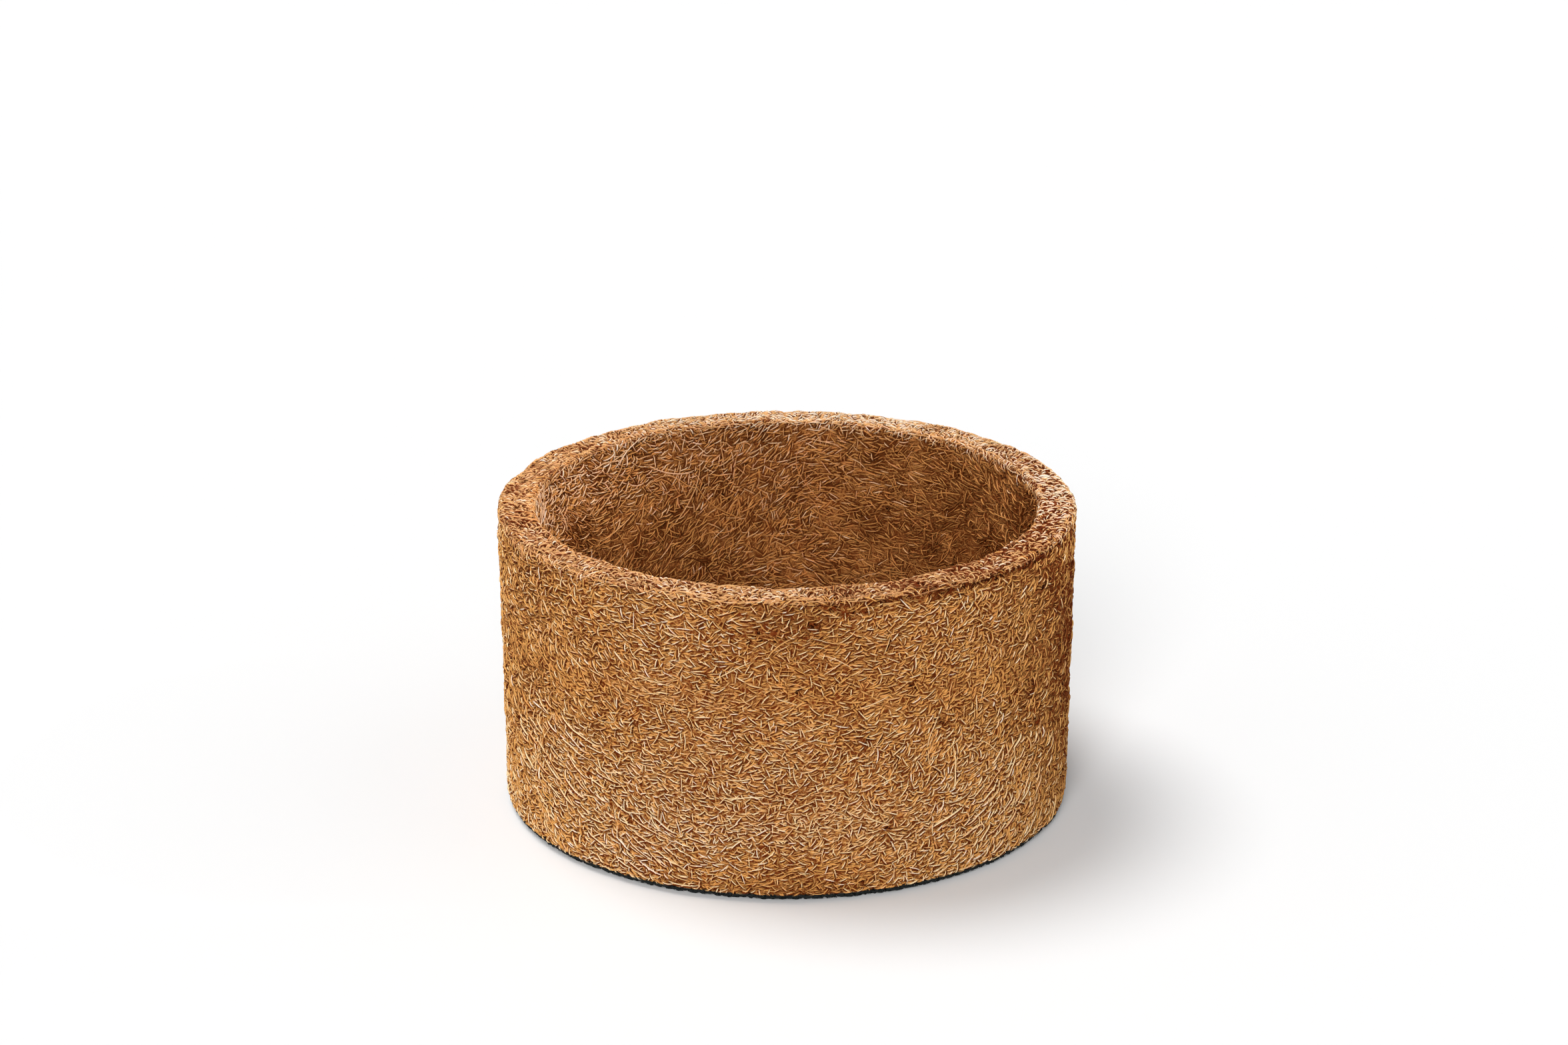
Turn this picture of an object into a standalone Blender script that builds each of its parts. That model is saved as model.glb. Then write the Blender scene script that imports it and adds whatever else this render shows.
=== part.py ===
"""Coir pot: two plies of needled coir felt round a felt base disc, bonded with latex.

Metres, +Z up. The pot stands on z = 0 with its axis on the Z axis, and its front is -Y.
"""

import math

import bpy

# The pot's outer form.
HEIGHT = 0.081
RIM_RADIUS = 0.075
FOOT_RADIUS = 0.0742
RIM_OUTER_ROUND = 0.0022
RIM_INNER_ROUND = 0.0016
FOOT_ROUND = 0.0032

# The felt: two plies make the wall, and one disc makes the base.
OUTER_PLY_THICKNESS = 0.005
INNER_PLY_THICKNESS = 0.0042
BASE_THICKNESS = 0.0085

# The latex that closes each ply's butt seam and holds the base disc by its edge.
SEAM_LATEX_THICKNESS = 0.0006
EDGE_LATEX_THICKNESS = 0.0006
EDGE_LATEX_RISE = 0.0004

# Pieces that touch on the pot keep this gap to each other.
FIT_GAP = 0.0003

# The outer ply closes at the back and the inner ply at the right-hand end.
OUTER_SEAM_AZIMUTH = math.radians(90)
INNER_SEAM_AZIMUTH = math.radians(0)

# How finely the round shapes are cut.
TURN_STEPS = 96
ROUND_STEPS = 5
MERGE_DISTANCE = 0.00001
SHARP_ANGLE = math.radians(35)

# How far a cutter runs past what it cuts.
CUTTER_MARGIN = 0.004

COIR_TAN = (0.445, 0.235, 0.095)
COIR_BROWN = (0.235, 0.112, 0.045)
COIR_MIDDLE = (0.33, 0.165, 0.065)
LATEX_AMBER = (0.42, 0.26, 0.12)
FELT_ROUGHNESS = 0.9
LATEX_ROUGHNESS = 0.6


def clear_scene():
    """Empty the scene of whatever was in it."""
    for item in list(bpy.data.objects):
        bpy.data.objects.remove(item, do_unlink=True)


def make_collection(name):
    """Add a collection to the scene."""
    collection = bpy.data.collections.new(name)
    bpy.context.scene.collection.children.link(collection)
    return collection


def make_material(name, color, roughness):
    """One plain finish for one piece."""
    material = bpy.data.materials.new(name)
    material.use_nodes = True
    shader = material.node_tree.nodes["Principled BSDF"]
    shader.inputs["Base Color"].default_value = (*color, 1.0)
    shader.inputs["Roughness"].default_value = roughness
    shader.inputs["Metallic"].default_value = 0.0
    return material


def arc(center_r, center_z, radius, start_deg, end_deg):
    """Points of a round, from one angle to the other, in the plane of radius and height."""
    points = []
    for step in range(ROUND_STEPS + 1):
        angle = math.radians(start_deg + (end_deg - start_deg) * step / ROUND_STEPS)
        points.append((center_r + radius * math.cos(angle), center_z + radius * math.sin(angle)))
    return points


def outer_radius_at(height):
    """The pot's outer radius at a height: the wall leans out a little towards the rim."""
    return FOOT_RADIUS + (RIM_RADIUS - FOOT_RADIUS) * height / HEIGHT


def outer_ply_profile():
    """Section of the outer ply: rounded at the rim and the foot, flat where it meets the inner ply."""
    rim_round = min(RIM_OUTER_ROUND, OUTER_PLY_THICKNESS / 2)
    foot_round = min(FOOT_ROUND, OUTER_PLY_THICKNESS - FIT_GAP)
    rim_edge = outer_radius_at(HEIGHT)
    foot_edge = outer_radius_at(0)
    profile = [(rim_edge - OUTER_PLY_THICKNESS, HEIGHT)]
    profile += arc(rim_edge - rim_round, HEIGHT - rim_round, rim_round, 90, 0)
    profile += arc(foot_edge - foot_round, foot_round, foot_round, 0, -90)
    profile += [(foot_edge - OUTER_PLY_THICKNESS, 0)]
    return profile


def inner_ply_profile():
    """Section of the inner ply: it stands on the base disc and lines the outer ply up to the rim."""
    seat = BASE_THICKNESS + FIT_GAP
    rim_round = min(RIM_INNER_ROUND, INNER_PLY_THICKNESS / 2)
    rim_edge = outer_radius_at(HEIGHT) - OUTER_PLY_THICKNESS - FIT_GAP
    seat_edge = outer_radius_at(seat) - OUTER_PLY_THICKNESS - FIT_GAP
    rim_bore = rim_edge - INNER_PLY_THICKNESS
    seat_bore = seat_edge - INNER_PLY_THICKNESS
    profile = arc(rim_bore + rim_round, HEIGHT - rim_round, rim_round, 180, 90)
    profile += [(rim_edge, HEIGHT), (seat_edge, seat), (seat_bore, seat)]
    return profile


def base_radius_at(height):
    """The base disc fills the foot of the outer ply, less the latex round its edge."""
    return outer_radius_at(height) - OUTER_PLY_THICKNESS - 2 * FIT_GAP - EDGE_LATEX_THICKNESS


def base_profile():
    """Section of the base disc, from the axis out and back. Its edge leans as the wall does."""
    top = base_radius_at(BASE_THICKNESS)
    bottom = base_radius_at(0)
    return [(0, BASE_THICKNESS), (top, BASE_THICKNESS), (bottom, 0), (0, 0)]


def edge_latex_profile():
    """Section of the latex between the base disc's edge and the outer ply, clear of the ground."""
    top = base_radius_at(BASE_THICKNESS) + FIT_GAP
    bottom = base_radius_at(EDGE_LATEX_RISE) + FIT_GAP
    return [
        (top, BASE_THICKNESS), (top + EDGE_LATEX_THICKNESS, BASE_THICKNESS),
        (bottom + EDGE_LATEX_THICKNESS, EDGE_LATEX_RISE), (bottom, EDGE_LATEX_RISE)]


def turn(name, profile, closed, collection, material):
    """Turn a section about the Z axis into one solid."""
    mesh = bpy.data.meshes.new(name)
    points = [(radius, 0, height) for radius, height in profile]
    edges = [(index, index + 1) for index in range(len(points) - 1)]
    if closed:
        edges.append((len(points) - 1, 0))
    mesh.from_pydata(points, edges, [])
    piece = bpy.data.objects.new(name, mesh)
    collection.objects.link(piece)
    piece.data.materials.append(material)
    screw = piece.modifiers.new("turn", "SCREW")
    screw.axis = "Z"
    screw.angle = math.radians(360)
    screw.steps = TURN_STEPS
    screw.render_steps = TURN_STEPS
    screw.use_merge_vertices = True
    screw.merge_threshold = MERGE_DISTANCE
    screw.use_smooth_shade = False
    return piece


def seam_slab(name, azimuth, width, collection):
    """A slab that crosses the wall on one side of the axis, as a cutter."""
    reach = RIM_RADIUS + CUTTER_MARGIN
    tall = HEIGHT + 2 * CUTTER_MARGIN
    bpy.ops.mesh.primitive_cube_add(size=1)
    slab = bpy.context.object
    slab.name = name
    slab.scale = (reach, width, tall)
    slab.location = (reach / 2 * math.cos(azimuth), reach / 2 * math.sin(azimuth), HEIGHT / 2)
    slab.rotation_euler = (0, 0, azimuth)
    for holder in list(slab.users_collection):
        holder.objects.unlink(slab)
    collection.objects.link(slab)
    slab.hide_render = True
    slab.display_type = "WIRE"
    return slab


def cut(piece, cutter, operation):
    """Cut a piece with a slab, or keep only what lies in the slab."""
    boolean = piece.modifiers.new("seam", "BOOLEAN")
    boolean.operation = operation
    boolean.solver = "EXACT"
    boolean.object = cutter


def shade_round(piece):
    """Take the shape as its modifiers leave it, and shade its round faces smooth."""
    bpy.context.view_layer.update()
    graph = bpy.context.evaluated_depsgraph_get()
    mesh = bpy.data.meshes.new_from_object(piece.evaluated_get(graph))
    mesh.name = piece.name
    piece.modifiers.clear()
    piece.data = mesh
    mesh.shade_smooth()
    mesh.set_sharp_from_angle(angle=SHARP_ANGLE)


def build_ply(name, profile, azimuth, color, pot, cutters):
    """A felt strip bent to a ring with an open butt seam, and the latex that fills the seam."""
    felt_name = name + "_felt"
    latex_name = name + "_seam_latex"
    felt = make_material(felt_name, color, FELT_ROUGHNESS)
    latex = make_material(latex_name, LATEX_AMBER, LATEX_ROUGHNESS)
    slot_width = SEAM_LATEX_THICKNESS + 2 * FIT_GAP
    slot = seam_slab(name + "_slot", azimuth, slot_width, cutters)
    filling = seam_slab(name + "_filling", azimuth, SEAM_LATEX_THICKNESS, cutters)
    ply = turn(felt_name, profile, True, pot, felt)
    cut(ply, slot, "DIFFERENCE")
    seam = turn(latex_name, profile, True, pot, latex)
    cut(seam, filling, "INTERSECT")
    return [ply, seam]


def build_pot():
    """All the pieces of the pot."""
    clear_scene()
    pot = make_collection("coir_pot")
    cutters = make_collection("cutters")
    base_felt = make_material("base_felt", COIR_MIDDLE, FELT_ROUGHNESS)
    edge_latex = make_material("base_edge_latex", LATEX_AMBER, LATEX_ROUGHNESS)

    pieces = build_ply("outer", outer_ply_profile(), OUTER_SEAM_AZIMUTH, COIR_TAN, pot, cutters)
    pieces += build_ply("inner", inner_ply_profile(), INNER_SEAM_AZIMUTH, COIR_BROWN, pot, cutters)
    pieces.append(turn("base_felt", base_profile(), False, pot, base_felt))
    pieces.append(turn("base_edge_latex", edge_latex_profile(), True, pot, edge_latex))
    for piece in pieces:
        shade_round(piece)


build_pot()
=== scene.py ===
"""The coir pot's looks: felt cores of matted coconut fibre under many thousands of single fibres.

Metres, +Z up, front at -Y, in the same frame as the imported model.
"""

import math
from functools import partial

import bpy
import numpy as np
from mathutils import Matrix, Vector


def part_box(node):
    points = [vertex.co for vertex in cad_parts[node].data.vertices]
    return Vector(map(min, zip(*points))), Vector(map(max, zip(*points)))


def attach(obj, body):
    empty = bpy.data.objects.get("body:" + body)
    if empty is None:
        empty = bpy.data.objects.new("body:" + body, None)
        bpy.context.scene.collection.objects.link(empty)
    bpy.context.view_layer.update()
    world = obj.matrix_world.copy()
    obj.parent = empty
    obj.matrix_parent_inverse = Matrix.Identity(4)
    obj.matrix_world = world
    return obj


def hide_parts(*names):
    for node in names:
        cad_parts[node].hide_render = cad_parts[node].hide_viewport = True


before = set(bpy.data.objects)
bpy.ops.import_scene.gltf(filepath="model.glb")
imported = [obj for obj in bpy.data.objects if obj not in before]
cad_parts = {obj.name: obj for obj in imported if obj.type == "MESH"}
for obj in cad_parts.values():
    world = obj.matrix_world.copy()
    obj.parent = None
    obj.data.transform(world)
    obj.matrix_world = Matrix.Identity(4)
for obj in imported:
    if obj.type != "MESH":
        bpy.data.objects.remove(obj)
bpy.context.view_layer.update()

MM = 0.001
TURN = 2 * math.pi

# The pot's sizes, read from its solids.
RIM_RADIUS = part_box("outer_felt")[1].x
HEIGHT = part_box("outer_felt")[1].z
BASE_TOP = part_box("base_felt")[1].z
BASE_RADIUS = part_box("base_felt")[1].x
INNER_PLY_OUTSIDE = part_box("inner_felt")[1].x
INNER_PLY_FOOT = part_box("inner_felt")[0].z
SEAM_LATEX_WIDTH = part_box("outer_seam_latex")[1].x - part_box("outer_seam_latex")[0].x

# Sizes that the boxes do not tell: the taper, the plies and the rounds of their edges.
FOOT_RADIUS = 74.2 * MM
OUTER_PLY = 5.0 * MM
INNER_PLY = 4.2 * MM
RIM_OUTER_ROUND = 1.7 * MM
RIM_INNER_ROUND = 1.0 * MM
FOOT_ROUND = 3.2 * MM
TAPER = RIM_RADIUS - FOOT_RADIUS
BORE_AT_RIM = INNER_PLY_OUTSIDE - INNER_PLY
BORE_AT_FLOOR = BORE_AT_RIM - TAPER * (1 - BASE_TOP / HEIGHT)
INNER_FOOT_OUTSIDE = INNER_PLY_OUTSIDE - TAPER * (1 - INNER_PLY_FOOT / HEIGHT)

# The plies' butt seams: the outer one at the back, the inner one at the right-hand end.
OUTER_SEAM = math.radians(90)
INNER_SEAM = 0.0
SEAM_GAPS = 0.6 * MM
SEAM_OPENING = SEAM_LATEX_WIDTH + SEAM_GAPS

ROUND_STEPS = 8
SKIN_PITCH = 0.25 * MM


def arc(center_r, center_z, radius, start_deg, end_deg):
    """Points of a round in the plane of radius and height."""
    turns = np.radians(np.linspace(start_deg, end_deg, ROUND_STEPS + 1))
    return [(center_r + radius * math.cos(t), center_z + radius * math.sin(t)) for t in turns]


def distances(points):
    """How far along a line of points each one lies."""
    return np.concatenate([[0], np.cumsum(np.hypot(*np.diff(points, axis=0).T))])


FOOT_ARC = arc(FOOT_RADIUS - FOOT_ROUND, FOOT_ROUND, FOOT_ROUND, -90, 0)
RIM_OUTER_ARC = arc(RIM_RADIUS - RIM_OUTER_ROUND, HEIGHT - RIM_OUTER_ROUND, RIM_OUTER_ROUND, 0, 90)
RIM_INNER_ARC = arc(BORE_AT_RIM + RIM_INNER_ROUND, HEIGHT - RIM_INNER_ROUND, RIM_INNER_ROUND, 90, 180)

# The plies' sections, from the foot up the outer side and back down the inner side.
OUTER_SECTION = FOOT_ARC + RIM_OUTER_ARC + [(RIM_RADIUS - OUTER_PLY, HEIGHT), (FOOT_RADIUS - OUTER_PLY, 0)]
INNER_SECTION = (
    [(INNER_FOOT_OUTSIDE, INNER_PLY_FOOT), (INNER_PLY_OUTSIDE, HEIGHT)] + RIM_INNER_ARC
    + [(BORE_AT_FLOOR, INNER_PLY_FOOT)])


class WallSkin:
    """The skin of the wall: up the outside, over the rim and down the inside.

    A place on it is a run, in metres along its section, and an azimuth round the axis.
    """

    def __init__(self):
        points = np.array(FOOT_ARC + RIM_OUTER_ARC + RIM_INNER_ARC + [(BORE_AT_FLOOR, BASE_TOP)])
        knots = distances(points)
        rim = len(FOOT_ARC)
        bore = rim + len(RIM_OUTER_ARC)
        self.length = knots[-1]
        self.rim_start = knots[rim]
        self.rim_top = knots[rim + ROUND_STEPS]
        self.bore_top = knots[bore]
        self.rim_end = knots[bore + ROUND_STEPS]
        self.run = np.arange(0, self.length, SKIN_PITCH)
        self.radius = np.interp(self.run, knots, points[:, 0])
        self.height = np.interp(self.run, knots, points[:, 1])
        climb = np.gradient(self.height, self.run)
        widen = np.gradient(self.radius, self.run)
        steep = np.hypot(climb, widen)
        self.out_r = climb / steep
        self.out_z = -widen / steep

    def scatter(self, rng, count, low, high):
        """About so many places between two runs, spread evenly but not in rows."""
        around = TURN * np.interp((low + high) / 2, self.run, self.radius)
        side = math.sqrt((high - low) * around / count)
        rows, columns = max(1, round((high - low) / side)), round(around / side)
        row, column = np.indices((rows, columns)).reshape(2, -1)
        run = low + (high - low) * (row + rng.uniform(0, 1, row.size)) / rows
        return run, TURN * (column + rng.uniform(0, 1, row.size)) / columns

    def step(self, run, azimuth, heading, length):
        """Move along the skin. A heading of 0 goes with the run, and of a quarter turn round the pot."""
        radius = np.interp(run, self.run, self.radius)
        run = np.clip(run + np.cos(heading) * length, 0, self.length)
        return run, azimuth + np.sin(heading) * length / radius

    def shift(self, run, azimuth, distance):
        """Tracks moved sideways, to the side where the run is less."""
        climb = np.gradient(run, axis=1)
        around = np.gradient(azimuth, axis=1) * RIM_RADIUS
        size = np.maximum(np.hypot(climb, around), 1e-9) * np.where(around.sum(1, keepdims=True) > 0, 1, -1)
        run = np.clip(run - distance * around / size, 0, self.length)
        return run, azimuth + distance * climb / size / RIM_RADIUS

    def cells(self, run, azimuth, pitch):
        """The cells of a square grid that places fall in, as whole numbers."""
        across = round(TURN * RIM_RADIUS / pitch)
        column = np.floor(azimuth / TURN * across).astype(int) % across
        return np.floor(run / pitch).astype(int) * across + column

    def point(self, run, azimuth, rise):
        """Places in space, and the directions out of the felt there."""
        out_r = np.interp(run, self.run, self.out_r)
        out_z = np.interp(run, self.run, self.out_z)
        radius = np.interp(run, self.run, self.radius) + rise * out_r
        height = np.interp(run, self.run, self.height) + rise * out_z
        cos, sin = np.cos(azimuth), np.sin(azimuth)
        places = np.stack([radius * cos, radius * sin, height], -1)
        return places, np.stack([out_r * cos, out_r * sin, out_z], -1)


class DiscSkin:
    """A flat round skin, the floor inside the pot or its underside. A place on it is x and y."""

    def __init__(self, radius, height, facing):
        self.radius = radius
        self.height = height
        self.facing = facing

    def scatter(self, rng, count, low, high):
        """About so many places between two radii, spread evenly but not in rows."""
        side = math.sqrt(math.pi * (high ** 2 - low ** 2) / count)
        reach = math.ceil(high / side)
        x, y = side * (np.indices((2 * reach, 2 * reach)).reshape(2, -1) - reach)
        x = x + side * rng.uniform(0, 1, x.size)
        y = y + side * rng.uniform(0, 1, y.size)
        keep = (np.hypot(x, y) < high) & (np.hypot(x, y) >= low)
        return x[keep], y[keep]

    def step(self, x, y, heading, length):
        """Move along the skin, and no further than its edge."""
        x = x + np.cos(heading) * length
        y = y + np.sin(heading) * length
        shrink = np.minimum(1, self.radius / np.maximum(np.hypot(x, y), 1e-6))
        return x * shrink, y * shrink

    def point(self, x, y, rise):
        """Places in space, and the directions out of the felt there."""
        places = np.stack([x, y, self.height + rise * self.facing], -1)
        outward = np.zeros_like(places)
        outward[..., 2] = self.facing
        return places, outward


WALL = WallSkin()
FLOOR = DiscSkin(BORE_AT_FLOOR, BASE_TOP, 1)
UNDERSIDE = DiscSkin(FOOT_RADIUS - FOOT_ROUND, 0, -1)


class Waves:
    """Smooth random waves over a skin, with unit spread, that close on themselves round the pot."""

    def __init__(self, seed, count, shortest, longest):
        rng = np.random.default_rng(seed)
        length = rng.uniform(shortest, longest, count)
        way = rng.uniform(0, math.pi, count)
        self.around = np.round(np.sin(way) * TURN * RIM_RADIUS / length)
        self.along = np.cos(way) * TURN / length
        self.phase = rng.uniform(0, TURN, count)

    def read(self, run, azimuth):
        """The waves' sum at places on the wall."""
        total = np.zeros(np.broadcast(run, azimuth).shape)
        for around, along, phase in zip(self.around, self.along, self.phase):
            total += np.sin(around * azimuth + along * run + phase)
        return total / math.sqrt(len(self.phase) / 2)


BROAD_SWELL = Waves(11, 14, 14 * MM, 34 * MM)
FINE_SWELL = Waves(12, 22, 4 * MM, 10 * MM)
GRAIN = Waves(13, 16, 12 * MM, 55 * MM)
INNER_GRAIN = Waves(14, 7, 40 * MM, 95 * MM)
PATCHES = Waves(15, 20, 6 * MM, 22 * MM)
BROAD_SWELL_RISE = 0.12 * MM
FINE_SWELL_RISE = 0.10 * MM
FOOT_CALM_TOP = 8 * MM

# The rim's outer edge hangs over the wall by a hair on the front right, with a crease under it.
LIP_MIDDLE = math.radians(-48)
LIP_TURN = math.radians(30)
LIP_RISE = 0.42 * MM
LIP_EDGE = WALL.rim_start + 1.5 * MM
LIP_WIDTH = 1.0 * MM
LIP_CREASE = 0.55 * MM
LIP_CREASE_DROP = 1.7 * MM
LIP_CREASE_WIDTH = 0.5 * MM


def bump(distance, width):
    """A smooth bump that is 1 at no distance."""
    return np.exp(-(distance / width) ** 2)


def apart(azimuth, middle):
    """Signed angle from the middle, the short way round."""
    return np.mod(azimuth - middle + math.pi, TURN) - math.pi


def near(azimuth, middle, turn):
    """How near places are to a middle round the pot, from 0 to 1."""
    return bump(apart(azimuth, middle), turn)


def near_spot(run, azimuth, middle_deg, turn, run_mm, reach_mm):
    """How near places are to a spot on the wall, from 0 to 1."""
    return near(azimuth, math.radians(middle_deg), turn) * bump(run - run_mm * MM, reach_mm * MM)


class Splits:
    """Short splits where the matted fibres part, darkened with painted shade."""

    HALF_LENGTHS_MM = (1.0, 3.4)
    HALF_WIDTHS_MM = (0.24, 0.42)
    DEPTHS_MM = (0.5, 1.0)

    def __init__(self, seed, count, low, high):
        rng = np.random.default_rng(seed)
        self.run = rng.uniform(low, high, count)
        self.azimuth = rng.uniform(0, TURN, count)
        self.way = rng.uniform(0, math.pi, count)
        self.half_length = rng.uniform(*self.HALF_LENGTHS_MM, count) * MM
        self.half_width = rng.uniform(*self.HALF_WIDTHS_MM, count) * MM
        self.depth = rng.uniform(*self.DEPTHS_MM, count) * MM

    def add(self, **split):
        """One more split, at a chosen place."""
        for name, value in split.items():
            setattr(self, name, np.append(getattr(self, name), value))

    def read(self, run, azimuth):
        """How deep the splits are at places on the wall."""
        total = np.zeros(run.shape)
        for middle, turn, way, half_length, half_width, depth in zip(
                self.run, self.azimuth, self.way, self.half_length, self.half_width, self.depth):
            up = run - middle
            across = apart(azimuth, turn) * RIM_RADIUS
            close = (np.abs(up) < 2 * half_length + MM) & (np.abs(across) < 2 * half_length + MM)
            along = up[close] * math.cos(way) + across[close] * math.sin(way)
            side = across[close] * math.cos(way) - up[close] * math.sin(way)
            total[close] += depth * bump(side, half_width) * bump(along, half_length)
        return total


SPLITS = Splits(21, 150, 3 * MM, WALL.length - 4 * MM)

# Radial splits cross the inner half of the rim at its right-hand end.
RIM_SPLIT_TURNS_DEG = (-19.5, -16.0, -12.0, -8.5, -4.5, -1.0)
for number, turn_deg in enumerate(RIM_SPLIT_TURNS_DEG):
    SPLITS.add(
        run=WALL.bore_top - (0.9 + 0.5 * (number % 2)) * MM, azimuth=math.radians(turn_deg),
        way=0.25 * (number % 3 - 1), half_length=1.9 * MM, half_width=0.30 * MM, depth=1.0 * MM)

# The rim's inner edge splits off at the front right.
SPLITS.add(
    run=WALL.bore_top - 0.7 * MM, azimuth=math.radians(-30), way=math.pi / 2, half_length=8.0 * MM,
    half_width=0.30 * MM, depth=1.2 * MM)

# Splits crowd under the rim at the front.
CROWD_RUN_MM = 75
CROWD_MIDDLE_DEG = -88
CROWD_COUNT = 16
CROWD_RUN_SPREAD = 2.6 * MM
CROWD_TURN_SPREAD = 0.12
CROWD_RNG = np.random.default_rng(22)
for number in range(CROWD_COUNT):
    SPLITS.add(
        run=CROWD_RUN_MM * MM + CROWD_RNG.normal(0, CROWD_RUN_SPREAD),
        azimuth=math.radians(CROWD_MIDDLE_DEG) + CROWD_RNG.normal(0, CROWD_TURN_SPREAD),
        way=CROWD_RNG.uniform(0.9, 2.2), half_length=CROWD_RNG.uniform(0.6, 1.6) * MM,
        half_width=0.36 * MM, depth=1.1 * MM)

# A pit lies on the outside at the front right, a little below the middle of the height.
SPLITS.add(
    run=36 * MM, azimuth=math.radians(-31), way=1.2, half_length=1.2 * MM, half_width=0.9 * MM,
    depth=1.2 * MM)


def lip_and_crease(run, azimuth):
    """How far places lie on the lip, and in the crease under it, from 0 to 1."""
    lip = near(azimuth, LIP_MIDDLE, LIP_TURN)
    crease = lip * bump(run - LIP_EDGE + LIP_CREASE_DROP, LIP_CREASE_WIDTH)
    return lip * bump(run - LIP_EDGE, LIP_WIDTH), crease


def lumps(run, azimuth):
    """How far the felt's lumps stand proud."""
    return BROAD_SWELL_RISE * BROAD_SWELL.read(run, azimuth) + FINE_SWELL_RISE * FINE_SWELL.read(run, azimuth)


def wall_swell(run, azimuth):
    """How far the wall's felt stands proud of a true turned shape."""
    swell = lumps(run, azimuth) * np.clip(run / FOOT_CALM_TOP, 0, 1)
    lip, crease = lip_and_crease(run, azimuth)
    return swell + LIP_RISE * lip - LIP_CREASE * crease - SPLITS.read(run, azimuth)


def disc_swell(x, y):
    """How far the felt of the floor or the underside stands proud of a flat."""
    return lumps(x, y / RIM_RADIUS)


# Combed fibres fan out low at the front: middle in degrees, half width round the pot, run and half
# height in millimetres, and how far they turn the grain.
FANS = (
    (-140, 0.27, 29, 14, 0.62),
    (-117, 0.17, 12, 10, 0.55),
    (-40, 0.25, 20, 14, -0.68),
)

# A belt round the pot is pressed smooth. Rougher and smoother places lie below and above it, given as
# the fans are, with how much rougher they are.
BELT_RUN = 55 * MM
BELT_SWAY = 1.5 * MM
BELT_SWAYS = 3
BELT_REACH = 4.5 * MM
ROUGH_PLACES = (
    (-106, 0.09, 40, 5, -1.0),
    (-86, 0.07, 26, 9, -0.8),
    (-68, 0.16, 19, 8, -0.6),
    (0, 0.50, 45, 60, -0.8),
    (-88, 0.12, 77, 5, 1.0),
    (-104, 0.26, 72, 8, 0.6),
    (-140, 0.26, 28, 10, 0.9),
    (-112, 0.28, 12, 8, 0.9),
    (-52, 0.20, 26, 11, 0.6),
)

# The fibres' headings: a quarter turn goes level round the pot.
GRAIN_SPREAD = 0.14
WALL_HEADING = 1.5
WALL_SWIRL = 0.15
WALL_LEAN = 0.60
WALL_LEAN_MIDDLE = math.radians(-98)
LEVEL_REACH = 7 * MM
RIM_SWIRL = 0.4
BORE_HEADING = 1.38
BORE_SWIRL = 0.40
DISC_SWIRL = 1.2


def wall_grain(run, azimuth):
    """The heading that the outer fibres tend to: round the pot, with swirls and fans, level at its edges."""
    heading = 0.0
    rest = 1.0
    for *spot, turn in FANS:
        share = near_spot(run, azimuth, *spot)
        heading = heading + turn * share
        rest = rest - share
    level = np.clip(np.minimum(run, WALL.rim_start - run) / LEVEL_REACH, 0, 1)
    swirl = WALL_SWIRL * GRAIN.read(run, azimuth) * np.clip(rest, 0, 1)
    lean = WALL_LEAN * np.sin(azimuth - WALL_LEAN_MIDDLE) * np.clip(rest, 0, 1)
    return WALL_HEADING + (heading + swirl - lean) * level


def rim_grain(run, azimuth):
    """The heading of the rim's fibres: from side to side of the pot, with swirls."""
    return azimuth + RIM_SWIRL * GRAIN.read(run, azimuth)


def edge_grain(run, azimuth):
    """The heading of the fibres that follow the rim's edges."""
    return np.full(run.shape, math.pi / 2)


def bore_grain(run, azimuth):
    """The heading that the inner fibres tend to: aslant round the bore."""
    return BORE_HEADING + BORE_SWIRL * INNER_GRAIN.read(run, azimuth)


def disc_grain(x, y):
    """The heading that the fibres of the floor and the underside tend to."""
    return DISC_SWIRL * GRAIN.read(x, y / RIM_RADIUS)


def patch_of(skin, a, b):
    """The patch value at places on a skin, from dark to light."""
    return PATCHES.read(a, b if skin is WALL else b / RIM_RADIUS)


# What thins out the strokes or crowds them: the felt's patches, how rough it is, and the bore's right.
PATCH_THINNING = 0.7
PATCH_START = 0.4
ROUGH_LIMITS = (-1, 1.2)
SMOOTH_THINNING = 0.90
ROUGH_CROWDING = 0.65
BORE_RIGHT_THINNING = 0.55
BORE_RIGHT_REACH = 0.3

# How sharply the fans end, how deep the bore's pale fibres reach, and how far the lower mat rises.
FAN_GAIN = 1.4
FAN_START = 0.35
CROSSING_REACH = 40 * MM
MAT_RISE = 0.26 * MM
MAT_PATCH_TOP = 1.2


def patchy_share(run, azimuth):
    """The chance that a stroke lies at a place, by the felt's patches alone."""
    return 1 - PATCH_THINNING * np.clip(PATCHES.read(run, azimuth) - PATCH_START, 0, 1)


def roughness_of(run, azimuth):
    """How rough the outside is: above 0 the strokes stand out, below 0 the felt is pressed smooth."""
    rough = -bump(run - (BELT_RUN + BELT_SWAY * np.sin(BELT_SWAYS * azimuth)), BELT_REACH)
    for *spot, change in ROUGH_PLACES:
        rough = rough + change * near_spot(run, azimuth, *spot)
    return np.clip(rough, *ROUGH_LIMITS)


def stroke_share(run, azimuth):
    """The chance that a stroke lies at a place outside: few lie where the felt is smooth."""
    rough = roughness_of(run, azimuth)
    change = np.where(rough < 0, SMOOTH_THINNING, ROUGH_CROWDING) * rough
    return patchy_share(run, azimuth) * np.clip(1 + change, 0, 1)


def inner_stroke_share(run, azimuth):
    """The chance that a stroke lies at a place in the bore: fewer lie at its right."""
    thinning = BORE_RIGHT_THINNING * np.clip(np.cos(azimuth) + BORE_RIGHT_REACH, 0, 1)
    return patchy_share(run, azimuth) * (1 - thinning)


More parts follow.
